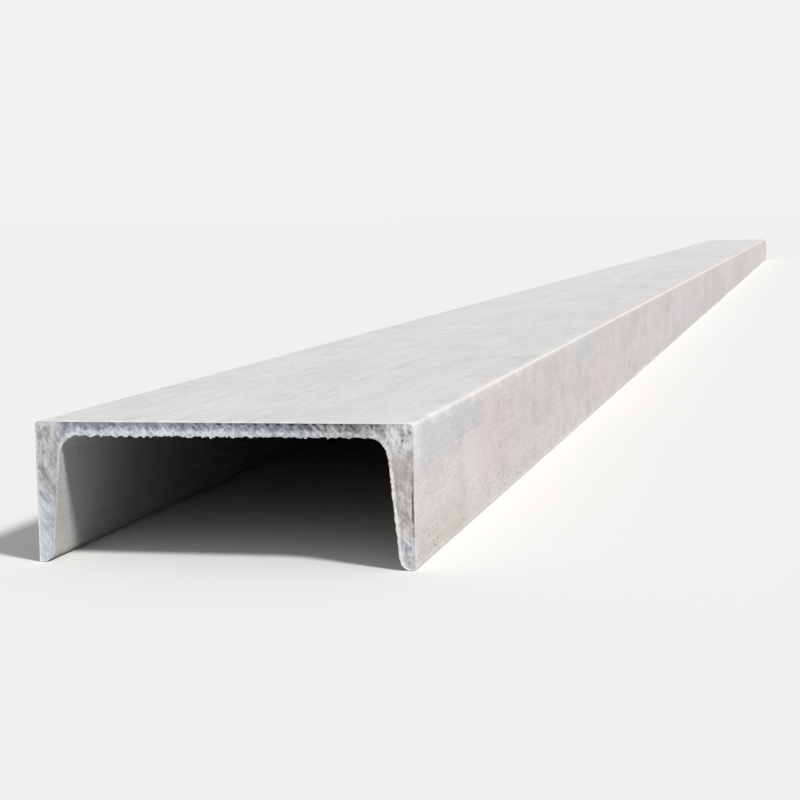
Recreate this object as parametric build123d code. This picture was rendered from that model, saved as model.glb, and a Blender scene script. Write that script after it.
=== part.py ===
from build123d import *
import os

# A hot-rolled steel channel, one length of stock, lying web up on the toes of its flanges.
# X runs across the web, Y along the stock and Z up. The origin is at the middle of the
# length and of the web, on the level that the toes rest on.

# Driving sizes, in millimetres
stock_length = 6000.0
web_depth = 200.0  # over the backs of the two flanges
flange_width = 73.0  # from the back of the web to the toes
web_thickness = 7.0
flange_thickness = 11.0  # mean, midway between the web's inner face and the toe
flange_slope = 1 / 10  # how much a flange thins on its way to the toe
root_radius = 11.0  # inside, where a flange meets the web
toe_radius = 5.5  # the inner corner of a toe
toe_edge_radius = 0.8  # the outer corner of a toe
heel_radius = 1.5  # outside, where the back of the web meets the back of a flange

# Sizes that follow from them
half_depth = web_depth / 2
web_inner_level = flange_width - web_thickness
toe_thickness = flange_thickness - flange_slope * web_inner_level / 2
root_thickness = flange_thickness + flange_slope * web_inner_level / 2
toe_inner_radius = min(toe_radius, toe_thickness - 2 * toe_edge_radius)


def half_section():
    """One half of the section, from the web's middle out to one flange, with its rolled corners."""
    heel = (half_depth, flange_width)
    toe_outer = (half_depth, 0)
    toe_inner = (half_depth - toe_thickness, 0)
    root = (half_depth - root_thickness, web_inner_level)
    half = Polygon((0, flange_width), heel, toe_outer, toe_inner, root, (0, web_inner_level), align=None)
    corner_radii = {
        heel: heel_radius,
        toe_outer: toe_edge_radius,
        toe_inner: toe_inner_radius,
        root: root_radius,
    }
    for corner, radius in corner_radii.items():
        nearest_vertex = half.vertices().sort_by_distance(corner)[0]
        half = fillet(nearest_vertex, radius)
    return half


def channel_section():
    """The whole section: the half and its mirror image, fused along the web's middle."""
    half = half_section()
    return (half + mirror(half, Plane.YZ)).clean()


def channel():
    """The section drawn out both ways along Y, which leaves a square sawn face at each end."""
    return extrude(Plane.XZ * channel_section(), stock_length / 2, both=True)


os.makedirs("parts", exist_ok=True)
export_step(channel(), "parts/channel.step")
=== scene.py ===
import math
import random

import bpy
from mathutils import Matrix, Vector, noise


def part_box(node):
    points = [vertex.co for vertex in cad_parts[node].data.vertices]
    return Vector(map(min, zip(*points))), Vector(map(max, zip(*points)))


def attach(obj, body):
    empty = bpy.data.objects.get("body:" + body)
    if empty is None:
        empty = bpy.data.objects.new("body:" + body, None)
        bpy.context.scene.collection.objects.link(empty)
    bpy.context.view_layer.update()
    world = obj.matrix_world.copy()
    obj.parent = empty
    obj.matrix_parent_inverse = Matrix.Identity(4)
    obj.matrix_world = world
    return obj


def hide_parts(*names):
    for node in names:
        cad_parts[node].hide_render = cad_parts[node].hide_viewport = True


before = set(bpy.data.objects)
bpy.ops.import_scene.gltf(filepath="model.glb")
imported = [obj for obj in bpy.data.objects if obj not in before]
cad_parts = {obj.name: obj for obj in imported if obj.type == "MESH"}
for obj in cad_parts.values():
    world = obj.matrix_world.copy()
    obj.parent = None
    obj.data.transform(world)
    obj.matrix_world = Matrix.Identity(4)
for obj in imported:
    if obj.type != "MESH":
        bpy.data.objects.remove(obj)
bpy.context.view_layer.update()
halfDepth, halfLength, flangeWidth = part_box("channel")[1]
print("frame loaded: half depth", halfDepth, "half length", halfLength, "flange width", flangeWidth)


# Camera: it stands where the photograph was taken from, with a longer lens,
# and turned to take in the whole length
view = {
    "frameSide": 800,  # pixels
    "sensorWidth": 36.0,  # millimetres
    "focalPixels": 1344,  # of the photograph's own lens
    "zoom": 1.367,
    "nearest": 0.01,  # metres, and nothing closer is seen
    "aheadOfEnd": 0.8743,  # metres in front of the near sawn end
    "rightOfMiddle": 0.2943,
    "aboveFloor": 0.1734,
    "azimuth": 12.94,  # degrees that the view turns left of the stock's own line
    "pitch": 5.64,  # degrees down
    "roll": -1.06,
}


def addCamera():
    lens = bpy.data.cameras.new("viewCamera")
    lens.sensor_width = view["sensorWidth"]
    lens.lens = view["sensorWidth"] * view["focalPixels"] * view["zoom"] / view["frameSide"]
    lens.clip_start = view["nearest"]
    holder = bpy.data.objects.new("viewCamera", lens)
    bpy.context.scene.collection.objects.link(holder)
    turn = Matrix.Rotation(math.radians(view["azimuth"]), 4, "Z")
    tilt = Matrix.Rotation(math.radians(90 - view["pitch"]), 4, "X")
    roll = Matrix.Rotation(math.radians(view["roll"]), 4, "Z")
    place = Vector((view["rightOfMiddle"], -halfLength - view["aheadOfEnd"], view["aboveFloor"]))
    holder.matrix_world = Matrix.Translation(place) @ turn @ tilt @ roll
    bpy.context.scene.camera = holder


addCamera()
print("camera placed")


# Shader maths: a Socket is one value in a node tree, and +, - and * on it add Math nodes
class Socket:
    def __init__(self, nodes, link):
        self.nodes = nodes
        self.link = link

    def maths(self, operation, *others):
        return self.nodes.node("ShaderNodeMath", {"operation": operation}, dict(enumerate((self, *others))))

    def __add__(self, other):
        return self.maths("ADD", other)

    __radd__ = __add__

    def __sub__(self, other):
        return self.maths("SUBTRACT", other)

    def __rsub__(self, other):
        return self.maths("MULTIPLY_ADD", -1.0, other)

    def __mul__(self, other):
        return self.maths("MULTIPLY", other)

    __rmul__ = __mul__

    def __abs__(self):
        return self.maths("ABSOLUTE")

    def clipped(self):
        return self.maths("MAXIMUM", 0.0).maths("MINIMUM", 1.0)


class Nodes:
    # the node tree of one material or world: node() makes any node, and the rest make common groups of them
    def __init__(self, owner):
        owner.use_nodes = True
        self.tree = owner.node_tree
        self.tree.nodes.clear()

    def node(self, kind, settings=None, sockets=None, output=0):
        node = self.tree.nodes.new(kind)
        for name, value in (settings or {}).items():
            setattr(node, name, value)
        for name, value in (sockets or {}).items():
            slot = node.inputs[name]
            if isinstance(value, Socket):
                self.tree.links.new(value.link, slot)
            elif slot.type == "RGBA":
                slot.default_value = (*value, 1.0)
            else:
                slot.default_value = value
        return Socket(self, node.outputs[output]) if output is not None else node

    def parts(self, vector):
        split = self.node("ShaderNodeSeparateXYZ", {}, {"Vector": vector}, output=None)
        return [Socket(self, slot) for slot in split.outputs]

    def stretch(self, vector, factors):
        return self.node("ShaderNodeVectorMath", {"operation": "MULTIPLY"}, {0: vector, 1: factors})

    def noise(self, vector, factors, scale, detail, roughness, distortion=0.0):
        sockets = {"Vector": self.stretch(vector, factors), "Scale": scale, "Detail": detail}
        sockets.update({"Roughness": roughness, "Distortion": distortion})
        return self.node("ShaderNodeTexNoise", {}, sockets)

    def noises(self, vector, table):
        return {name: self.noise(vector, *values) for name, values in table.items()}

    def between(self, value, low, high):
        # 0 at low and 1 at high, eased in between and level beyond; low may be the larger one
        sockets = {"Value": value, "From Min": low, "From Max": high}
        return self.node("ShaderNodeMapRange", {"interpolation_type": "SMOOTHSTEP"}, sockets)

    def mix(self, first, second, factor):
        return self.node("ShaderNodeMix", {"data_type": "RGBA"}, {0: factor, 6: first, 7: second}, output=2)

    def cover(self, colour, looks, layers, sources, masks):
        # lays named colours over one another, each where the source that it follows is in its range
        for name, source, start, full, strength, mask in layers:
            share = self.between(sources[source], start, full) * strength
            colour = self.mix(colour, looks[name], share * masks[mask] if mask else share)
        return colour

    def attribute(self, name):
        return self.node("ShaderNodeAttribute", {"attribute_name": name}, {}, output="Fac")

    def spots(self, vector, scale, size, share):
        # round spots in a share of the cells of a random lattice
        cells = self.node("ShaderNodeTexVoronoi", {}, {"Vector": vector, "Scale": scale}, output=None)
        distance = Socket(self, cells.outputs["Distance"])
        pick = self.node("ShaderNodeSeparateColor", {}, {"Color": Socket(self, cells.outputs["Color"])})
        return self.between(distance, size, size * 0.4) * self.between(pick, 1 - share, 1.02 - share)

    def patch(self, vector, middle, reach):
        # 1 in the middle of a soft oval place and 0 past its reach
        away = self.node("ShaderNodeVectorMath", {"operation": "SUBTRACT"}, {0: vector, 1: middle})
        away = self.stretch(away, [1 / r for r in reach])
        far = self.node("ShaderNodeVectorMath", {"operation": "LENGTH"}, {0: away}, output="Value")
        return self.between(far, 1.0, 0.25)

    def lightPath(self, *names):
        path = self.node("ShaderNodeLightPath", output=None)
        total = Socket(self, path.outputs[names[0]])
        for name in names[1:]:
            total = total.maths("MAXIMUM", Socket(self, path.outputs[name]))
        return total

    def principled(self, sockets, height, strength, distance):
        bump = {"Height": height, "Strength": strength, "Distance": distance}
        normal = self.node("ShaderNodeBump", {}, bump)
        shader = self.node("ShaderNodeBsdfPrincipled", {}, {**sockets, "Normal": normal})
        self.node("ShaderNodeOutputMaterial", {}, {"Surface": shader}, output=None)


def screenColour(red, green, blue):
    # a colour as a screen shows it, 0 to 255, as the linear numbers that a shader takes
    def linear(value):
        value /= 255
        return value / 12.92 if value <= 0.04045 else ((value + 0.055) / 1.055) ** 2.4
    return linear(red), linear(green), linear(blue)


def level01(value):
    return min(max(value, 0.0), 1.0)


def rise(value, start, finish):
    # 0 at start and 1 at finish, straight in between and level beyond; start may be the larger one
    return level01((value - start) / (finish - start))


def blend(first, second, share):
    return first + (second - first) * share


# The rolled section, in metres
section = {
    "webThickness": 0.007,
    "flangeThickness": 0.011,  # mean, half way between web and toe
    "flangeSlope": 0.1,
    "rootRadius": 0.011,
    "toeRadius": 0.0055,
    "toeEdgeRadius": 0.0008,
    "heelRadius": 0.0015,
    "partings": (54.6, 41.1, 232.0),  # degrees: where the strip parts a root arc twice and a toe arc once
    # fine steps in each zone from the web's middle to the toe, and how many of them make one plain step
    "steps": ((120, 12), (32, 8), (6, 2), (24, 8), (78, 13), (8, 4), (6, 3)),
}


def arc(centre, radius, fromAngle, toAngle, count):
    angles = [math.radians(fromAngle + (toAngle - fromAngle) * k / count) for k in range(count + 1)]
    return [Vector((centre[0] + radius * math.cos(a), centre[1] + radius * math.sin(a))) for a in angles]


def line(start, end, count):
    return [Vector(start).lerp(Vector(end), k / count) for k in range(count + 1)]


def flangeInside(level):
    # x of a flange's inner face at a level above the toes
    middle = (flangeWidth - section["webThickness"]) / 2
    return halfDepth - section["flangeThickness"] - section["flangeSlope"] * (level - middle)


def halfStrip():
    # the section from the middle of the web to a toe, as pairs of an outer and an inner point,
    # each with a mark that says whether the plain length keeps it
    slope = math.atan(section["flangeSlope"])
    tilt = math.degrees(slope)
    webInside = flangeWidth - section["webThickness"]
    root, toe = section["rootRadius"], section["toeRadius"]
    heel, toeEdge = section["heelRadius"], section["toeEdgeRadius"]
    rootCentre = (flangeInside(webInside - root) - root / math.cos(slope), webInside - root)
    toeCentre = (flangeInside(toe) + toe / math.cos(slope), toe)
    rootEnd = rootCentre[1] + root * math.sin(slope)
    toeStart = toeCentre[1] - toe * math.sin(slope)
    heelCentre = (halfDepth - heel, flangeWidth - heel)
    toeEdgeCentre = (halfDepth - toeEdge, toeEdge)
    firstTurn, secondTurn, toeTurn = section["partings"]
    zones = (  # the outer and the inner run of each
        ((line, (0, flangeWidth), (rootCentre[0], flangeWidth)),
         (line, (0, webInside), (rootCentre[0], webInside))),
        ((line, (rootCentre[0], flangeWidth), (heelCentre[0], flangeWidth)),
         (arc, rootCentre, root, 90, firstTurn)),
        ((arc, heelCentre, heel, 90, 0),
         (arc, rootCentre, root, firstTurn, secondTurn)),
        ((line, (halfDepth, heelCentre[1]), (halfDepth, rootEnd)),
         (arc, rootCentre, root, secondTurn, tilt)),
        ((line, (halfDepth, rootEnd), (halfDepth, toeStart)),
         (line, (flangeInside(rootEnd), rootEnd), (flangeInside(toeStart), toeStart))),
        ((line, (halfDepth, toeStart), (halfDepth, toeEdge)),
         (arc, toeCentre, toe, 180 + tilt, toeTurn)),
        ((arc, toeEdgeCentre, toeEdge, 0, -90),
         (arc, toeCentre, toe, toeTurn, 270)),
    )
    strip = []
    for zone, (count, step) in zip(zones, section["steps"]):
        outer, inner = [shape(*values, count) for shape, *values in zone]
        for k in range(1 if strip else 0, count + 1):
            strip.append((outer[k], inner[k], k % step == 0))
    return strip


def wholeStrip():
    half = halfStrip()
    flipped = [(Vector((-o.x, o.y)), Vector((-i.x, i.y)), keep) for o, i, keep in half[:0:-1]]
    return flipped + half


# The rolled length: how uneven the rolls and the handling left it, in metres
stock = {
    "seed": 41,
    "waveDepth": 0.00028,  # that the skin may lie below its nominal level
    "waveScales": ((3.1, 0.5), (14.0, 0.3), (47.0, 0.2)),  # waves per metre of length and their share
    "waveAcross": 2.5,  # how many times closer they lie across the length
    "fineLevels": (0.00012, 0.00035, 0.0008, 0.0016, 0.0032, 0.0065, 0.012),  # sections behind a cut
    "plainStart": 0.017,  # where the plain sections begin
    "closeStep": 0.005,
    "closeReach": 0.4,
    "stepGrowth": 0.25,  # of a step, for each metre beyond the close reach
    "farStep": 0.024,
    "leastStep": 0.0015,
    "dings": 46,
    "dingsByEnd": (0.02, 0.45, 1.3),  # where they start, their reach, and how they crowd towards the end
    "dingsBetween": (0.4, 5.2),  # where the others start, and their reach
    "dingDepth": (0.00015, 0.0009),
    "dingShallow": 0.6,  # the least share of that depth
    "dingLength": (0.003, 0.011),
    "dingReach": 0.005,
    "dingSections": (-0.8, -0.35, 0.35, 0.8),  # across one far from the ends, in its half lengths
    "cornerDing": (0.004, 0.007, 0.0010),  # at the near heel: from the end, half length, depth
    "sharpAngle": 38,  # degrees, from which an edge stays sharp
}


def makeDings(chance):
    # dents in the four long edges, most of them near the ends: x, z, y, half length, depth
    edges = [(side * halfDepth, level) for side in (-1, 1) for level in (0.0, flangeWidth)]
    fromEnd, length, depth = stock["cornerDing"]
    dings = [(halfDepth, flangeWidth, fromEnd - halfLength, length, depth)]
    nearest, reach, crowding = stock["dingsByEnd"]
    start, span = stock["dingsBetween"]
    shallow = stock["dingShallow"]
    for k in range(stock["dings"]):
        x, z = edges[k % 4]
        fromEnd = nearest + reach * chance.random() ** crowding if k % 3 else start + span * chance.random()
        y = -halfLength + fromEnd if k % 2 else halfLength - fromEnd
        depth = chance.uniform(*stock["dingDepth"]) * (shallow + (1 - shallow) * chance.random())
        dings.append((x, z, y, chance.uniform(*stock["dingLength"]), depth))
    return dings


def dingAt(x, y, z, dings):
    # how deep and how worn the dents leave a point of the outer sides
    deep, worn = 0.0, 0.0
    for dingX, dingZ, dingY, length, depth in dings:
        if abs(y - dingY) < length:
            apart = math.hypot(x - dingX, z - dingZ)
            if apart < stock["dingReach"]:
                bite = (1 - ((y - dingY) / length) ** 2) ** 1.5 * (1 - apart / stock["dingReach"])
                deep += depth * bite
                worn = max(worn, bite)
    return deep, worn


def waveInset(x, y, z):
    # how far below its nominal level the skin lies here, never above it
    total = 0.0
    for scale, share in stock["waveScales"]:
        across = scale * stock["waveAcross"]
        total += share * (0.5 + 0.5 * noise.noise(Vector((x * across, y * scale, z * across + scale))))
    return stock["waveDepth"] * level01(total)


def sectionLevels(dings):
    # y of the plain sections, closer together near the ends and at a dent
    levels, fromEnd = [], stock["plainStart"]
    while fromEnd < halfLength:
        levels += [fromEnd - halfLength, halfLength - fromEnd]
        beyond = max(fromEnd - stock["closeReach"], 0.0)
        fromEnd += min(stock["farStep"], stock["closeStep"] + beyond * stock["stepGrowth"])
    for x, z, y, length, depth in dings:
        if halfLength - abs(y) > stock["closeReach"]:
            levels += [y + length * share for share in stock["dingSections"]]
    spaced = []
    for y in sorted(levels):
        if not spaced or y - spaced[-1] > stock["leastStep"]:
            spaced.append(y)
    return spaced


# The sawn ends, in metres; where a value has a pair, the first is for the web and the second for a flange
sawCut = {
    "recess": 0.00036,  # of the cut face behind its torn lip, which is where the stock ends
    "relief": 0.00030,
    "bladeCentre": (0.56, 0.53),  # x and z that the saw lines turn about
    "lines": ((430.0, 0.55), (1050.0, 0.45)),  # noise per metre of the blade's travel, and its share
    "lineLength": 36.0,  # noise per radian along a line
    "lineContrast": 0.95,
    "rows": 17,  # of faces across the thickness
    "rowEvenness": 0.45,  # 0 crowds the rows towards both edges, 1 spaces them evenly
    "flangeFrom": (0.08, 0.09),  # x over which the web's values give way to a flange's
    "brightBand": (0.0046, 0.0022),  # width of the bright metal along the inner edge, partly a painted glint
    "bandByLip": (0.5, 0.9),  # its share where there is no lip, and what a full lip adds
    "backRim": (0.25, 0.85),  # how bright the painted highlight on the thin rim along the back is
    "rimByLip": (0.0005, 0.0008),  # its width where there is no lip, and what a full lip adds
}

# The torn lip along the edges of a cut
tornLip = {
    "height": 0.0013,
    "shares": (0.55, 1.0, 0.75),  # of that height on the left flange, the web and the right flange
    "level": 0.42,  # its average, as a share of a full lip
    "least": 0.05,
    "noises": ((430, 7.3, 0.8), (900, 3.1, 0.7), (60, 5.7, 0.4)),  # per metre of edge, a start, its share
    "flangeFrom": (0.074, 0.09),
    "fade": (1.0, 0.9, 0.42, 0.1),  # how far it still stands at the cut and the sections behind it
    "coversRecess": 0.92,  # how much of the recess a full lip makes up
    "rootLoss": 0.6,  # how much of it the rounded roots lack
    "rootZone": (0.073, 0.077, 0.086, 0.088),
    "flangeLoss": 0.5,  # how much less it stands out on the flanges than its brightness says
    "flangeZone": (0.084, 0.087),
}

# Dark nicks along the back of the web; a pair that changes by chance is a mean and a swing
nickRow = {
    "reach": (-0.013, 0.066),  # to the right of the web's middle, as seen when facing the cut
    "height": 0.003,  # of the strip that they lie in
    "spacing": 0.0062,
    "wander": 0.0045,
    "size": (0.0017, 0.0009),  # of one, along and across the edge
    "sizeChange": (0.75, 1.1),
    "below": (0.0005, 0.0004),  # how far its middle is from the back, and what its size adds
    "presence": (0.75, 1.6),
    "softness": 1.3,
    "depth": 0.00028,
}

# A torn groove just inside the right flange's outer side, as deep as the nicks, and painted dark as the
# shadow of a burr on the outer edge
burrShadowGroove = {
    "reach": (0.021, 0.049),  # above the toes
    "offSide": 0.0013,
    "halfWidth": 0.0007,
    "wander": 0.0004,
    "wanderScale": 160,  # noise per metre
    "fadeSteepness": (6, 3),  # at its foot and at its top, in shares of its height
    "softness": 1.2,
    "presence": 0.85,
    "strength": 0.85,
}


def sawLines(x, z, end):
    # 0 on the ridges and 1 in the furrows that the blade left at this point of a cut
    centreX, centreZ = sawCut["bladeCentre"]
    across, up = -x * end - centreX, z - centreZ
    reach, swing = math.hypot(across, up), math.atan2(up, across)
    total = 0.0
    for scale, share in sawCut["lines"]:
        spot = Vector((reach * scale, swing * sawCut["lineLength"], scale + 3 * end))
        total += share * noise.noise(spot)
    return level01(0.5 + sawCut["lineContrast"] * total)


def lipAmount(travel, x, isInner, end):
    # 0 to 1: how far the ragged lip stands out, at a distance along the edge of a cut
    ragged = tornLip["level"]
    for number, (scale, start, weight) in enumerate(tornLip["noises"]):
        spot = Vector((travel * scale, end * start, (3.0 if isInner else 9.0) + 2 * number))
        ragged += weight * noise.noise(spot)
    left, web, right = tornLip["shares"]
    flange = right if -x * end > 0 else left
    share = blend(web, flange, rise(abs(x), *tornLip["flangeFrom"]))
    return min(max(share * ragged, tornLip["least"]), 1.0)


def lipHeight(x, lip):
    # how far the lip at this x of the inner side stands into the trough
    start, full, fading, finish = tornLip["rootZone"]
    inRoot = rise(abs(x), start, full) * rise(abs(x), finish, fading)
    onFlange = rise(abs(x), *tornLip["flangeZone"])
    loss = max(tornLip["flangeLoss"] * onFlange, tornLip["rootLoss"] * inRoot)
    return lip * tornLip["height"] * (1 - loss)


def nickAmount(x, z, end):
    # 0 to 1: how deep in a nick this point of a cut lies
    start, finish = nickRow["reach"]
    along, below = -x * end, flangeWidth - z
    if not start < along < finish or below > nickRow["height"]:
        return 0.0
    number = round((along - start) / nickRow["spacing"])
    wander = noise.noise(Vector((number * 3.7, end, 1.0)))
    sizeMean, sizeSwing = nickRow["sizeChange"]
    size = sizeMean + sizeSwing * noise.noise(Vector((number * 2.3, end, 7.0)))
    middle = start + number * nickRow["spacing"] + nickRow["wander"] * wander
    least, added = nickRow["below"]
    long, high = nickRow["size"]
    away = math.hypot((along - middle) / (long * size), (below - least - added * size) / high)
    mean, swing = nickRow["presence"]
    return level01(nickRow["softness"] - away) * level01(mean + swing * wander)


def grooveAndShadowAmount(x, z, end):
    # 0 to 1: how deep in the groove this point of a cut lies, which also sets how dark its painted shadow
    #         is
    low, high = burrShadowGroove["reach"]
    if -x * end < 0 or not low < z < high:
        return 0.0
    wander = noise.noise(Vector((z * burrShadowGroove["wanderScale"], end, 11.0)))
    middle = burrShadowGroove["offSide"] + burrShadowGroove["wander"] * wander
    away = abs(halfDepth - abs(x) - middle) / burrShadowGroove["halfWidth"]
    up = (z - low) / (high - low)
    atFoot, atTop = burrShadowGroove["fadeSteepness"]
    fade = level01(atFoot * up) * level01(atTop * (1 - up)) * level01(burrShadowGroove["presence"] + wander)
    return burrShadowGroove["strength"] * level01(burrShadowGroove["softness"] - away) * fade


def cutMarks(point, share, thick, lipPair, end):
    # how bright (bare metal and painted glint), furrowed and nicked (with the groove's painted shadow)
    # a point of a cut is, and how far behind the end it lies,
    # at a share of the thickness from the outer side and between the lips of both edges
    outerLip, innerLip = lipPair
    furrow = sawLines(point.x, point.z, end)
    nickAndShadow = max(nickAmount(point.x, point.z, end), grooveAndShadowAmount(point.x, point.z, end))
    onFlange = rise(abs(point.x), *sawCut["flangeFrom"])
    least, added = sawCut["bandByLip"]
    brightBand = blend(*sawCut["brightBand"], onFlange) * (least + added * innerLip)
    bright = level01(1.15 - (1 - share) * thick / brightBand)
    least, added = sawCut["rimByLip"]
    rimWidth = least + added * outerLip
    rim = blend(*sawCut["backRim"], onFlange) * level01(1.1 - share * thick / rimWidth) * (1 - nickAndShadow)
    bright = max(bright, rim)
    depth = sawCut["recess"] * (1 - 0.5 * bright) + sawCut["relief"] * furrow * (1 - bright)
    return bright, furrow, nickAndShadow, depth + nickRow["depth"] * nickAndShadow


# How the finish is laid out flat where it is baked, in shares of the map's side:
# a strip for each cut, and a band of skin for each half length
flatMap = {
    "name": "OFBake",
    "margin": 0.004,
    "cutHeight": 0.045,
    "bandHeight": 0.44,
    "bandLength": 0.99,
    "outerShare": 0.68,  # of a band, for the outer sides
    "crowding": 0.7,  # under 1, it gives the skin near a cut more room
}


def onBand(y, turn, isNear):
    # where a point of the skin lies on the flat map, by its way round the section from 0 to 1
    fromEnd = max(halfLength + y if isNear else halfLength - y, 0.0) / halfLength
    margin, high = flatMap["margin"], flatMap["bandHeight"]
    start = 1 - margin - high if isNear else 1 - 2 * margin - 2 * high
    along = (flatMap["bandLength"] - 2 * margin) * fromEnd ** flatMap["crowding"]
    return margin + along, start + high * turn


def onStrip(way, share, end):
    # where a point of a cut lies on it, by its way along the section and across the thickness
    margin, high = flatMap["margin"], flatMap["cutHeight"]
    start = margin if end < 0 else 2 * margin + high
    return margin + (1 - 2 * margin) * way, start + high * share


class StockMesh:
    # the stock's points and faces, with marks on the points that its finish follows
    def __init__(self, strip, dings):
        self.dings = dings
        self.count = len(strip)
        # a ring goes round the outer sides from toe to toe, and back along the inner sides
        ring = [(k, False) for k in range(self.count)]
        ring += [(k, True) for k in range(self.count - 1, -1, -1)]
        self.isInner = [isInner for k, isInner in ring]
        self.plainRing = [j for j, (k, isInner) in enumerate(ring) if strip[k][2]]
        # the points from which a ring crosses a toe, and the cut grid's columns there
        self.toes = {self.count - 1: self.count - 1, len(ring) - 1: 0}
        self.spots, self.inward = [], []
        for k, isInner in ring:
            outerSpot, innerSpot = strip[k][:2]
            spot, opposite = (innerSpot, outerSpot) if isInner else (outerSpot, innerSpot)
            self.spots.append(spot)
            self.inward.append((opposite - spot).normalized())
        self.travel = [0.0]
        for j in range(1, len(ring)):
            self.travel.append(self.travel[-1] + (self.spots[j] - self.spots[j - 1]).length)
        self.turns = self.flatTurns()
        self.places, self.faces, self.kinds, self.spread = [], [], [], []
        self.marks = {"wearAndGlint": [], "furrow": [], "nickAndShadow": []}

    def flatTurns(self):
        # the way round the section as it goes on the flat map, from 0 to 1
        outerTravel = self.travel[self.count - 1]
        innerTravel = self.travel[-1] + (self.spots[0] - self.spots[-1]).length - outerTravel
        outerShare = flatMap["outerShare"]
        turns = [outerShare * t / outerTravel for t in self.travel[:self.count]]
        for t in self.travel[self.count:]:
            turns.append(outerShare + (1 - outerShare) * (t - outerTravel) / innerTravel)
        return turns + [1.0]

    def addPoint(self, x, y, z, wearAndGlint=0.0, furrow=0.0, nickAndShadow=0.0):
        self.places.append((x, y, z))
        self.marks["wearAndGlint"].append(wearAndGlint)
        self.marks["furrow"].append(furrow)
        self.marks["nickAndShadow"].append(nickAndShadow)
        return len(self.places) - 1

    def addSkinPoint(self, j, y, lip=0.0):
        x, z = self.spots[j]
        shift, worn = waveInset(x, y, z), 0.0
        if self.isInner[j]:
            shift -= lipHeight(x, lip)
        else:
            deep, worn = dingAt(x, y, z, self.dings)
            shift += deep
        level = max(z + self.inward[j].y * shift, 0.0)
        return self.addPoint(x + self.inward[j].x * shift, y, level, max(worn, min(lip, 1.0)))

    def addFace(self, corners, flat, kind, end):
        self.faces.append(corners[::-1] if end > 0 else corners)
        self.spread.extend(flat[::-1] if end > 0 else flat)
        self.kinds.append(kind)

    def addSkinFace(self, corners, turns, end):
        levels = [self.places[corner][1] for corner in corners]
        isNear = sum(levels) < 0
        self.addFace(corners, [onBand(y, turn, isNear) for y, turn in zip(levels, turns)], 0, end)

    def joinRings(self, first, second, turns, end, skipped=()):
        for j in range(len(first)):
            if j not in skipped:
                after = (j + 1) % len(first)
                around = (turns[j], turns[j + 1], turns[j + 1], turns[j])
                self.addSkinFace((first[j], first[after], second[after], second[j]), around, end)

    def joinFan(self, run, runTurns, behind, behindTurns, end):
        # a run of close points and the two points behind its ends
        half = (len(run) - 1) // 2
        for k in range(len(run) - 1):
            b = 0 if k < half else 1
            around = (runTurns[k], runTurns[k + 1], behindTurns[b])
            self.addSkinFace((run[k], run[k + 1], behind[b]), around, end)
        around = (runTurns[half], behindTurns[1], behindTurns[0])
        self.addSkinFace((run[half], behind[1], behind[0]), around, end)

    def addEnd(self, end):
        # a cut face and the skin close behind it, up to the ring that is given back
        lips = []
        for spot, travel, isInner in zip(self.spots, self.travel, self.isInner):
            lips.append(lipAmount(travel, spot.x, isInner, end))
        steps = (0.0,) + stock["fineLevels"]
        fades = tornLip["fade"] + (0.0,) * len(steps)
        rings = []
        for depth, fade in zip(steps, fades):
            ring = []
            for j, lip in enumerate(lips):
                bare = 1 - tornLip["coversRecess"] * lip
                behind = depth + sawCut["recess"] * bare * (1 - depth / steps[-1])
                ring.append(self.addSkinPoint(j, end * (halfLength - behind), lip * fade))
            rings.append(ring)
        self.joinRings(rings[0], rings[1], self.turns, end, self.toes)
        for first, second in zip(rings[1:], rings[2:]):
            self.joinRings(first, second, self.turns, end)
        self.addCutFace(rings[0], rings[1], lips, end)
        return rings[-1]

    def addCutFace(self, rim, behindRim, lips, end):
        # a grid of points between the outer and the inner edge, and a fan behind it at each toe
        rows = sawCut["rows"]
        grid = []
        for k in range(self.count):
            opposite = len(rim) - 1 - k
            start, finish = Vector(self.places[rim[k]]), Vector(self.places[rim[opposite]])
            thick = (finish - start).length
            lipPair = lips[k], lips[opposite]
            column = [rim[k]]
            for r in range(1, rows):
                share = blend(0.5 - 0.5 * math.cos(math.pi * r / rows), r / rows, sawCut["rowEvenness"])
                point = start.lerp(finish, share)
                bright, furrow, nickAndShadow, depth = cutMarks(point, share, thick, lipPair, end)
                y = point.y if k in self.toes.values() else end * (halfLength - depth)
                column.append(self.addPoint(point.x, y, point.z, bright, furrow, nickAndShadow))
            grid.append(column + [rim[opposite]])
        for j, k in self.toes.items():
            run = grid[k] if k else grid[k][::-1]
            behind = (behindRim[j], behindRim[(j + 1) % len(rim)])
            runTurns = [blend(self.turns[j], self.turns[j + 1], r / rows) for r in range(rows + 1)]
            self.joinFan(run, runTurns, behind, self.turns[j:j + 2], end)
        outerTravel = self.travel[self.count - 1]
        for k in range(self.count - 1):
            for r in range(rows):
                square = ((k, r), (k, r + 1), (k + 1, r + 1), (k + 1, r))
                flat = [onStrip(self.travel[a] / outerTravel, b / rows, end) for a, b in square]
                self.addFace([grid[a][b] for a, b in square], flat, 1, end)

    def addPlainLength(self, fineEnds):
        plainTurns = [self.turns[j] for j in self.plainRing] + [1.0]
        rings = [[self.addSkinPoint(j, y) for j in self.plainRing] for y in sectionLevels(self.dings)]
        for first, second in zip(rings, rings[1:]):
            self.joinRings(first, second, plainTurns, -1)
        # fans join the fine ring behind each cut to the first plain ring
        for end, near in ((-1, rings[0]), (1, rings[-1])):
            fine = fineEnds[end]
            for a, start in enumerate(self.plainRing):
                b = (a + 1) % len(self.plainRing)
                span = (self.plainRing[b] - start) % len(fine)
                run = [fine[(start + s) % len(fine)] for s in range(span + 1)]
                runTurns = self.turns[start:start + span + 1]
                self.joinFan(run, runTurns, (near[a], near[b]), plainTurns[a:a + 2], end)

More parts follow.
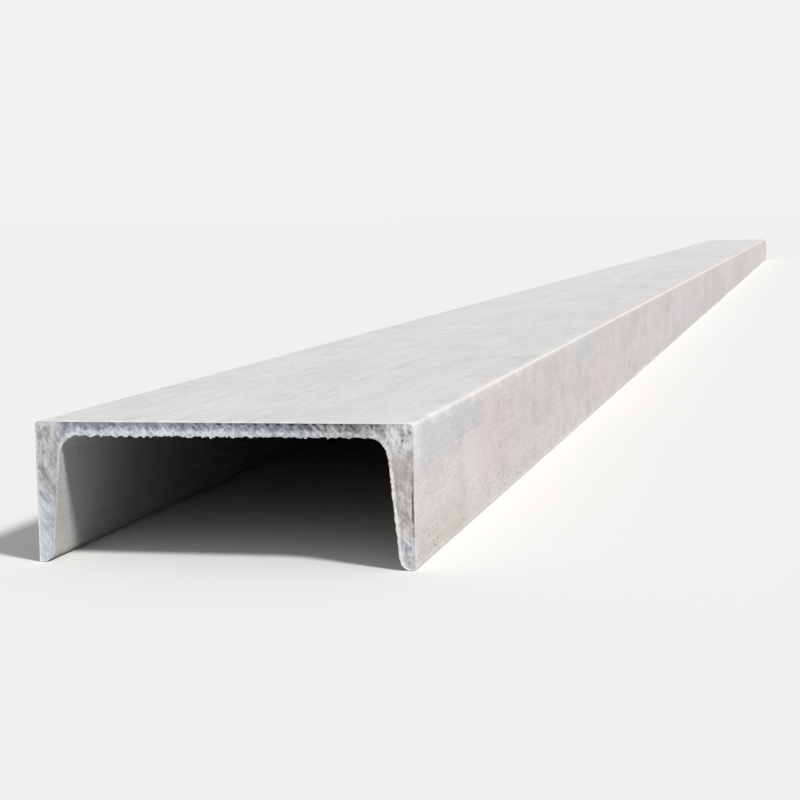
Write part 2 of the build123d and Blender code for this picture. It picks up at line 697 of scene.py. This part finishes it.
    def makePiece(self, name):
        mesh = bpy.data.meshes.new(name)
        mesh.from_pydata(self.places, [], self.faces)
        mesh.polygons.foreach_set("material_index", self.kinds)
        mesh.polygons.foreach_set("use_smooth", [True] * len(self.faces))
        mesh.set_sharp_from_angle(angle=math.radians(stock["sharpAngle"]))
        for mark, values in self.marks.items():
            mesh.attributes.new(mark, "FLOAT", "POINT").data.foreach_set("value", values)
        flatLayer = mesh.uv_layers.new(name=flatMap["name"])
        flatLayer.uv.foreach_set("vector", [number for pair in self.spread for number in pair])
        mesh.update()
        piece = bpy.data.objects.new(name, mesh)
        bpy.context.scene.collection.objects.link(piece)
        return piece


def buildStock():
    stockMesh = StockMesh(wholeStrip(), makeDings(random.Random(stock["seed"])))
    stockMesh.addPlainLength({end: stockMesh.addEnd(end) for end in (-1, 1)})
    triangles = sum(len(corners) - 2 for corners in stockMesh.faces)
    print("stock built:", len(stockMesh.places), "points,", triangles, "triangles")
    return stockMesh.makePiece("rolledChannel")


rolledChannel = buildStock()
even = (1.0, 1.0, 1.0)  # a noise that isn't stretched


# Rolled skin: pale mill scale with faint tints, streaks along the rolling, specks, scuffs and bare edges
skinLooks = {
    "pale": screenColour(226, 222, 219),
    "back": screenColour(223, 222, 221),
    "pink": screenColour(227, 214, 209),
    "rose": screenColour(239, 229, 225),
    "blue": screenColour(216, 218, 222),
    "green": screenColour(218, 219, 215),
    "toeTint": screenColour(214, 211, 202),
    "lilac": screenColour(240, 238, 247),
    "dark": screenColour(160, 158, 157),
    "flake": screenColour(193, 190, 188),
    # inner faces: partly their own darker scale, partly painted shade
    "inside": screenColour(187, 182, 179),
    "rust": screenColour(158, 126, 104),
    "speck": screenColour(92, 84, 80),
    "smudge": screenColour(147, 143, 141),
    "bare": screenColour(246, 244, 243),
    "roughness": 0.6,
    "metallic": 0.15,
    "gloss": 0.25,
    "bump": (0.5, 0.0005),  # strength and distance
    "noises": {  # stretch in x, y and z, scale, detail, roughness and, in some, distortion
        "length": ((1.0, 0.25, 1.0), 6.0, 2.0, 0.5),
        "drift": ((1.0, 0.2, 1.0), 12.0, 2.0, 0.45),
        "driftTwo": ((1.0, 0.25, 1.0), 15.0, 2.0, 0.45, 0.3),
        "driftThree": ((1.0, 0.15, 1.0), 16.0, 2.0, 0.5),
        "clouds": ((1.0, 0.3, 1.0), 13.0, 4.0, 0.55, 0.2),
        "streaks": ((1.0, 0.05, 1.0), 60.0, 5.0, 0.62),
        "fineStreaks": ((1.0, 0.03, 1.0), 480.0, 3.0, 0.6),
        "chatter": ((0.05, 1.0, 0.05), 34.0, 1.0, 0.5),
        "blotch": (even, 140.0, 5.0, 0.6),
        "flakes": ((1.0, 0.4, 1.0), 62.0, 8.0, 0.72),
        "shed": ((1.0, 0.35, 1.0), 38.0, 6.0, 0.7, 0.3),
        "rollLines": ((1.0, 0.004, 1.0), 420.0, 2.0, 0.55),
        "grain": ((1.0, 0.6, 1.0), 1100.0, 4.0, 0.75),
        "scratch": ((1.0, 0.012, 1.0), 900.0, 1.0, 0.5),
    },
    "slantTurn": (0.32, 0.0, 0.26),  # radians that the slanting scratches are turned by
    "slantNoise": ((1.0, 0.02, 1.0), 650.0, 0.0, 0.5),
    "spots": {  # cells per metre, size in cells, and the share of cells that have one
        "large": (210.0, 0.24, 0.12),
        "small": (420.0, 0.3, 0.06),
        "crowded": (430.0, 0.3, 0.3),
        "smudge": (26.0, 0.24, 0.1),
    },
    "smudgeStretch": (1.0, 0.6, 1.0),
    # soft places on the right flange: metres from the near end, above the toes, reach along and up
    "calm": (0.2, 0.036, 0.5, 0.3),  # where the chance tints give way to the stains
    "crowd": (0.045, 0.011, 0.02, 0.014),  # of specks
    "stainReach": 0.03,  # across the flange
    "stains": (  # colour and strength, and then as above
        ("rose", 0.7, 0.07, 0.035, 0.17, 0.022),
        ("pink", 0.9, 0.235, 0.04, 0.085, 0.05),
        ("pink", 0.5, 0.39, 0.036, 0.16, 0.03),
        ("pink", 0.7, 0.84, 0.028, 0.26, 0.04),
        ("blue", 0.85, 0.07, 0.062, 0.16, 0.022),
        ("toeTint", 0.7, 0.07, 0.006, 0.13, 0.02),
        ("lilac", 0.75, 0.006, 0.061, 0.018, 0.02),
        ("bare", 0.8, 0.002, 0.004, 0.016, 0.015),
    ),
    # layers in their order: colour, what it follows, where that starts and is full, strength, mask
    "tints": (
        ("pale", "fromSide", 0.004, 0.002, 1.0, None),
        ("blue", "drift", 0.4, 0.66, 1.0, "bluish"),
        ("pink", "driftTwo", 0.42, 0.66, 0.5, "tinted"),
        ("green", "driftThree", 0.5, 0.68, 0.3, "tinted"),
        ("blue", "fromEnd", 0.02, 0.006, 0.25, None),
    ),
    "scale": (
        ("toeTint", "raggedLevel", 0.017, 0.003, 0.6, None),
        # the inner faces are darker: partly their own scale, partly painted shade that eases near the lit
        # ends
        ("inside", "fromOutside", 0.0035, 0.0055, 1.0, "unlit"),
        ("flake", "flakes", 0.49, 0.54, 0.24, "patchy"),
        ("dark", "flakes", 0.58, 0.61, 0.14, "patchy"),
        ("bare", "shed", 0.575, 0.595, 0.16, None),
        ("flake", "shed", 0.43, 0.41, 0.2, None),
        ("dark", "clouds", 0.48, 0.72, 0.2, "patchy"),
        ("bare", "clouds", 0.46, 0.26, 0.16, "patchy"),
        ("dark", "length", 0.42, 0.7, 0.14, "patchy"),
        ("dark", "streaks", 0.52, 0.74, 0.12, "patchy"),
        ("bare", "streaks", 0.45, 0.28, 0.08, None),
        ("dark", "fineStreaks", 0.54, 0.7, 0.11, None),
        ("bare", "fineStreaks", 0.45, 0.3, 0.1, None),
        ("dark", "rollLines", 0.61, 0.68, 0.19, "ruled"),
        ("bare", "rollLines", 0.38, 0.31, 0.25, "ruled"),
        ("dark", "chatter", 0.5, 0.75, 0.1, None),
    ),
    "grain": (
        ("dark", "grain", 0.5, 0.34, 0.52, None),
        ("bare", "grain", 0.53, 0.7, 0.46, None),
        ("rust", "blotch", 0.54, 0.7, 1.0, "rusting"),
        ("smudge", "flakes", 0.42, 0.6, 0.45, "smudged"),
    ),
}


def makeRolledSkin():
    material = bpy.data.materials.new("rolledSkin")
    n = Nodes(material)
    place = n.node("ShaderNodeTexCoord", output="Object")
    x, y, z = n.parts(place)
    wearAndGlint = n.attribute("wearAndGlint")
    fromSide = halfDepth - abs(x)
    fromBack = flangeWidth - z
    fromEnd = halfLength - abs(y)
    fromOutside = fromSide.maths("MINIMUM", fromBack)
    noises = n.noises(place, skinLooks["noises"])
    blotch, drift, driftTwo = noises["blotch"], noises["drift"], noises["driftTwo"]
    flakes, shed, grain = noises["flakes"], noises["shed"], noises["grain"]

    def besideEnd(beyond, level, along, high):
        # a soft place on the right flange, as the looks give them
        middle = (halfDepth, beyond - halfLength, level)
        return n.patch(place, middle, (skinLooks["stainReach"], along, high))

    onFlange = n.between(fromSide, 0.004, 0.002)
    inside = n.between(fromOutside, 0.0035, 0.0055)
    tinted = onFlange * (1 - 0.75 * besideEnd(*skinLooks["calm"]))
    spots = skinLooks["spots"]
    sources = {
        **noises,
        "fromSide": fromSide,
        "fromEnd": fromEnd,
        "fromOutside": fromOutside,
        "raggedLevel": z + 0.006 * blotch,
    }
    masks = {
        "tinted": tinted,
        "bluish": 0.4 * (1 - onFlange) + 0.7 * tinted,
        # painted shade inside the trough, less near the ends where light reaches in
        "unlit": 0.9 - 0.6 * n.between(fromEnd, 0.12, 0.03),
        "patchy": 0.6 + 0.1 * onFlange,
        "ruled": 1 - 0.55 * onFlange,
        "rusting": n.between(driftTwo, 0.48, 0.6) * n.between(grain, 0.35, 0.6) * (0.08 + 0.3 * inside),
        "smudged": n.spots(n.stretch(place, skinLooks["smudgeStretch"]), *spots["smudge"]),
    }
    colour = n.cover(skinLooks["back"], skinLooks, skinLooks["tints"], sources, masks)
    for name, strength, *where in skinLooks["stains"]:
        colour = n.mix(colour, skinLooks[name], besideEnd(*where) * strength)
    colour = n.cover(colour, skinLooks, skinLooks["scale"], sources, masks)
    # the flanges darken along the stock, and more by their toes
    far = 0.09 * n.between(fromEnd, 0.25, 1.1)
    lowFar = 0.08 * n.between(fromEnd, 0.8, 1.2) * n.between(z, 0.034, 0.014)
    colour = n.mix(colour, skinLooks["dark"], (far + lowFar) * onFlange)
    colour = n.cover(colour, skinLooks, skinLooks["grain"], sources, masks)

    nearToe = n.between(z, 0.028, 0.006)
    specks = n.spots(place, *spots["large"]) * (0.3 + 0.7 * nearToe)
    specks = specks.maths("MAXIMUM", n.spots(place, *spots["small"]) * (0.35 + 0.65 * nearToe))
    specks = specks.maths("MAXIMUM", n.spots(place, *spots["crowded"]) * besideEnd(*skinLooks["crowd"]))
    colour = n.mix(colour, skinLooks["speck"], specks * 0.75)
    turn = {"Vector": place, "Rotation": skinLooks["slantTurn"]}
    tilted = n.node("ShaderNodeVectorRotate", {"rotation_type": "EULER_XYZ"}, turn)
    slant = n.noise(tilted, *skinLooks["slantNoise"])
    scuffs = n.between(noises["scratch"], 0.68, 0.73) * n.between(drift, 0.42, 0.58)
    scuffs = scuffs.maths("MAXIMUM", n.between(slant, 0.77, 0.81) * n.between(driftTwo, 0.48, 0.58))
    colour = n.mix(colour, skinLooks["bare"], scuffs * 0.5)

    # bare metal where the edges are worn, at the rim of a cut and by the struck heels; along the heel and
    # toe edges the brightness is partly a painted highlight
    corner = (fromSide * fromSide + fromBack * fromBack).maths("SQRT")
    # a bright line along the heel: worn metal and a painted highlight on the rounded edge
    heel = n.between(corner, 0.0026, 0.0009) * n.between(blotch, 0.3, 0.5)
    struck = n.between(fromEnd, 0.014, 0.003) * n.between(fromBack, 0.026, 0.006)
    struck = struck * n.between(blotch, 0.44, 0.56)
    rim = n.between(fromEnd, 0.0034, 0.001) * n.between(blotch, 0.35, 0.58)
    # a bright line along the toe: worn metal and a painted highlight on the rounded edge
    toeRimWearAndHighlight = n.between(z, 0.0036, 0.0016) * n.between(blotch, 0.32, 0.52)
    bare = (wearAndGlint + 0.7 * heel + (0.8 * struck + 0.5 * toeRimWearAndHighlight) * (1 - inside) + 0.8 * rim).clipped()
    colour = n.mix(colour, skinLooks["bare"], bare * 0.8)

    rough = skinLooks["roughness"] + 0.25 * (flakes - 0.5) + 0.2 * (noises["streaks"] - 0.5) - 0.15 * bare
    metallic = skinLooks["metallic"] + 0.35 * bare
    height = 0.6 * grain + 0.8 * flakes - 0.9 * specks + 0.3 * noises["fineStreaks"] - 0.25 * scuffs
    height = height - 0.5 * n.between(shed, 0.575, 0.59) + 0.4 * noises["rollLines"]
    sockets = {"Base Color": colour, "Roughness": rough, "Metallic": metallic}
    n.principled({**sockets, "Specular IOR Level": skinLooks["gloss"]}, height, *skinLooks["bump"])
    return material


# Sawn steel: bright metal ruled by the blade, bluish towards one flange and stained brown at the other
cutLooks = {
    "steel": screenColour(172, 178, 186),
    "cool": screenColour(176, 187, 199),
    "shade": screenColour(110, 122, 147),
    "mauve": screenColour(98, 97, 102),
    "pale": screenColour(235, 245, 255),
    "warm": screenColour(186, 176, 172),
    "stain": screenColour(213, 205, 198),
    "lilac": screenColour(236, 233, 240),
    "toe": screenColour(216, 221, 229),
    "bright": screenColour(252, 253, 255),
    "glint": screenColour(238, 244, 253),
    "warmGlint": screenColour(250, 247, 241),
    "furrow": screenColour(72, 75, 82),
    # the dark of the nicks and of the groove's painted shadow
    "nickAndShadow": screenColour(48, 46, 48),
    "roughness": 0.4,
    "metallic": 0.45,
    "bump": (0.6, 0.0006),
    "swingScale": 0.05,  # metres per radian, which draws the blade's noises out along its lines
    "bladeNoises": {  # as in the skin's, but over the blade's travel, its swing and y
        "lines": (even, 760.0, 3.0, 0.6),
        "fineLines": (even, 1700.0, 2.0, 0.6),
    },
    "noises": {
        "touch": (even, 40.0, 2.0, 0.5),
        "blotch": (even, 75.0, 4.0, 0.6),
        "mottle": ((0.7, 1.0, 1.0), 520.0, 4.0, 0.75),
        "upright": ((1.0, 1.0, 0.16), 620.0, 3.0, 0.6),
        "crumbs": (even, 760.0, 2.0, 0.5),
        "dashes": ((0.4, 1.0, 1.0), 850.0, 2.0, 0.5),
        "patches": ((1.0, 1.0, 0.6), 230.0, 2.0, 0.6),
        "strokes": ((1.0, 1.0, 0.35), 400.0, 3.0, 0.6),
        "torn": (even, 1500.0, 3.0, 0.6),
    },
    # layers in their order: colour, what it follows, where that starts and is full, strength, mask
    "layers": (
        ("cool", "raggedSide", 0.02, -0.07, 1.0, None),
        ("shade", "fromSide", 0.009, 0.018, 0.5, None),
        ("mauve", "side", 0.015, 0.06, 0.9, "web"),
        ("stain", "blotch", 0.28, 0.48, 1.0, "stained"),
        ("toe", "level", 0.021, 0.012, 0.85, None),
        ("furrow", "mottle", 0.47, 0.34, 1.0, "mottled"),
        # the saw furrows darker, following the relief: partly the cut's own marks, partly painted shade
        ("furrow", "furrow", 0.5, 0.85, 0.55, "ruling"),
        ("furrow", "lines", 0.53, 0.63, 0.45, "ruling"),
        ("furrow", "upright", 0.53, 0.66, 0.3, None),
        ("furrow", "dashes", 0.53, 0.62, 0.75, "darkWeb"),
        ("bright", "mottle", 0.53, 0.64, 0.5, None),
        # the saw ridges brighter, following the relief: partly the cut's own marks, partly a painted
        # highlight
        ("bright", "furrow", 0.45, 0.15, 1.0, "ridges"),
        ("bright", "lines", 0.46, 0.37, 0.5, "ruling"),
        ("bright", "fineLines", 0.56, 0.66, 0.3, "ruling"),
        ("bright", "upright", 0.46, 0.33, 1.0, "uprights"),
        ("furrow", "patches", 0.46, 0.34, 0.24, None),
        ("bright", "patches", 0.54, 0.66, 0.26, None),
        # painted shade: the web's cut darker towards its back edge
        ("furrow", "fromBack", 0.0042, 0.0012, 0.2, "web"),
        ("pale", "level", 0.039, 0.026, 1.0, "paleToe"),
        ("stain", "level", 0.03, 0.044, 0.28, "left"),
        ("stain", "fromSide", 0.005, 0.0085, 0.3, "left"),
        # a painted highlight along the back edge of the left flange's cut
        ("pale", "fromBack", 0.0035, 0.001, 0.5, "left"),
        ("warm", "level", 0.034, 0.046, 0.35, "warmed"),
        ("lilac", "side", 0.08, 0.094, 0.6, "high"),
        ("furrow", "strokes", 0.45, 0.35, 0.35, "scratched"),
        ("furrow", "crumbs", 0.41, 0.36, 0.6, "scratched"),
        ("bright", "strokes", 0.5, 0.56, 0.95, "scratched"),
    ),
}


def makeSawnSteel():
    material = bpy.data.materials.new("sawnSteel")
    n = Nodes(material)
    place = n.node("ShaderNodeTexCoord", output="Object")
    x, y, z = n.parts(place)
    wearAndGlint, furrow, nickAndShadow = n.attribute("wearAndGlint"), n.attribute("furrow"), n.attribute("nickAndShadow")
    side = x * y.maths("SIGN") * -1.0  # to the right of someone who faces the cut
    fromSide = halfDepth - abs(side)
    centreX, centreZ = sawCut["bladeCentre"]
    across, up = side - centreX, z - centreZ
    travel = (across * across + up * up).maths("SQRT")
    swing = up.maths("ARCTAN2", across) * cutLooks["swingScale"]
    bladePlace = n.node("ShaderNodeCombineXYZ", {}, {"X": travel, "Y": swing, "Z": y})
    noises = {**n.noises(place, cutLooks["noises"]), **n.noises(bladePlace, cutLooks["bladeNoises"])}
    blotch, mottle, torn = noises["blotch"], noises["mottle"], noises["torn"]

    onFlange = n.between(fromSide, 0.018, 0.009)
    onWeb = 1 - onFlange
    left = n.between(side, 0.0, -0.05) * onFlange
    right = n.between(side, 0.02, 0.085) * onFlange
    # the blade shows in places, and least on the stained flange
    ruling = (0.3 + 0.7 * n.between(noises["touch"], 0.42, 0.58)) * (1 - 0.75 * right)
    # the corner by the right heel is torn bright, and the one by the left heel a little
    high = n.between(z, 0.051, 0.066)
    struck = n.between(side, 0.08, 0.094) * high
    sources = {
        **noises,
        "furrow": furrow,
        "level": z,
        "side": side,
        "raggedSide": side + 0.15 * (blotch - 0.5),
        "fromSide": fromSide,
        "fromBack": flangeWidth - z,
    }
    masks = {
        "web": onWeb,
        "left": left,
        "high": high,
        "ruling": ruling,
        "ridges": ruling * (0.25 + 0.4 * onFlange),
        "uprights": 0.2 + 0.35 * onFlange,
        "stained": 0.06 + 0.82 * right,
        "mottled": 0.6 - 0.35 * right,
        "warmed": right * (1 - struck),
        "darkWeb": n.between(side, 0.0, 0.06) * onWeb,
        "paleToe": left * (0.42 + 0.3 * n.between(fromSide, 0.0065, 0.0015)),
        "scratched": (struck + 0.45 * left * high).clipped(),
    }
    colour = n.cover(cutLooks["steel"], cutLooks, cutLooks["layers"], sources, masks)

    # the torn lip and the back rim get a painted glint, warmer at the right, and less on the web's right
    # and inside the left flange
    ragged = 0.36 * n.between(noises["patches"], 0.38, 0.58) + 0.25 * n.between(noises["crumbs"], 0.4, 0.54)
    bright = n.between(wearAndGlint, 0.0, 0.65) * (0.2 + ragged + 0.17 * n.between(torn, 0.4, 0.55))
    dim = 0.33 * n.between(side, -0.01, 0.04) * onWeb
    dim = dim + 0.75 * left * n.between(fromSide, 0.004, 0.006) * n.between(z, 0.052, 0.04)
    glint = n.mix(cutLooks["glint"], cutLooks["warmGlint"], n.between(side, 0.03, 0.08))
    colour = n.mix(colour, glint, bright * (1 - dim + 0.25 * right))
    # dark nicks, and the painted shadow in the groove by the right flange's outer edge
    colour = n.mix(colour, cutLooks["nickAndShadow"], n.between(nickAndShadow, 0.15, 0.7) * 0.85)

    rough = cutLooks["roughness"] + 0.3 * (mottle - 0.5) + 0.15 * furrow - 0.12 * wearAndGlint
    metallic = cutLooks["metallic"] - 0.3 * n.between(blotch, 0.45, 0.6) * onFlange
    height = 0.9 * noises["lines"] + 0.5 * noises["fineLines"] + 0.4 * mottle + 0.6 * torn * wearAndGlint
    sockets = {"Base Color": colour, "Roughness": rough, "Metallic": metallic}
    n.principled(sockets, height, *cutLooks["bump"])
    return material


rolledChannel.data.materials.append(makeRolledSkin())
rolledChannel.data.materials.append(makeSawnSteel())
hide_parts("channel")
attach(rolledChannel, "root")
print("finishes made")


# Studio: a pale floor, one soft key from the right, in front and above, and an even pale sky
studio = {
    "floorSide": 600.0,
    "floorDrop": 0.0003,
    "floorShown": (0.87, 0.866, 0.858),
    "floorBounce": (0.38, 0.385, 0.395),
    "floorNoise": (even, 60.0, 3.0, 0.55),
    "floorBump": (0.05, 0.0005),  # strength and distance
    "backdrop": (0.885, 0.88, 0.87),
    "sky": (0.97, 0.985, 1.0),
    "skyStrength": 0.4,
    "keyFrom": (0.6, -0.34, 0.724),
    "keyColour": (1.0, 0.985, 0.965),
    "keyStrength": 2.7,
    "keyAngle": 9.0,  # degrees that it spans
}


def addFloor():
    side = studio["floorSide"] / 2
    corners = [(-side, -side), (side, -side), (side, side), (-side, side)]
    mesh = bpy.data.meshes.new("floor")
    mesh.from_pydata([(x, y, -studio["floorDrop"]) for x, y in corners], [], [(0, 1, 2, 3)])
    material = bpy.data.materials.new("floorPaint")
    n = Nodes(material)
    place = n.node("ShaderNodeTexCoord", output="Object")
    seen = n.lightPath("Is Camera Ray", "Is Glossy Ray")
    paint = n.mix(studio["floorBounce"], studio["floorShown"], seen)
    sockets = {"Base Color": paint, "Roughness": 1.0, "Specular IOR Level": 0.0}
    n.principled(sockets, n.noise(place, *studio["floorNoise"]), *studio["floorBump"])
    mesh.materials.append(material)
    floor = bpy.data.objects.new("floor", mesh)
    bpy.context.scene.collection.objects.link(floor)


def addLight():
    lamp = bpy.data.lights.new("keyLight", "SUN")
    lamp.energy = studio["keyStrength"]
    lamp.angle = math.radians(studio["keyAngle"])
    lamp.color = studio["keyColour"]
    holder = bpy.data.objects.new("keyLight", lamp)
    holder.rotation_euler = Vector(studio["keyFrom"]).to_track_quat("Z", "Y").to_euler()
    bpy.context.scene.collection.objects.link(holder)
    world = bpy.data.worlds.new("paleSky")
    n = Nodes(world)
    fill = n.node("ShaderNodeBackground", {}, {"Color": studio["sky"], "Strength": studio["skyStrength"]})
    shown = n.node("ShaderNodeBackground", {}, {"Color": studio["backdrop"], "Strength": 1.0})
    seen = n.lightPath("Is Camera Ray", "Is Glossy Ray", "Is Transmission Ray")
    sky = n.node("ShaderNodeMixShader", {}, {0: seen, 1: fill, 2: shown})
    n.node("ShaderNodeOutputWorld", {}, {"Surface": sky}, output=None)
    bpy.context.scene.world = world


addFloor()
addLight()
bpy.context.scene.view_settings.view_transform = "Standard"
print("studio lit")
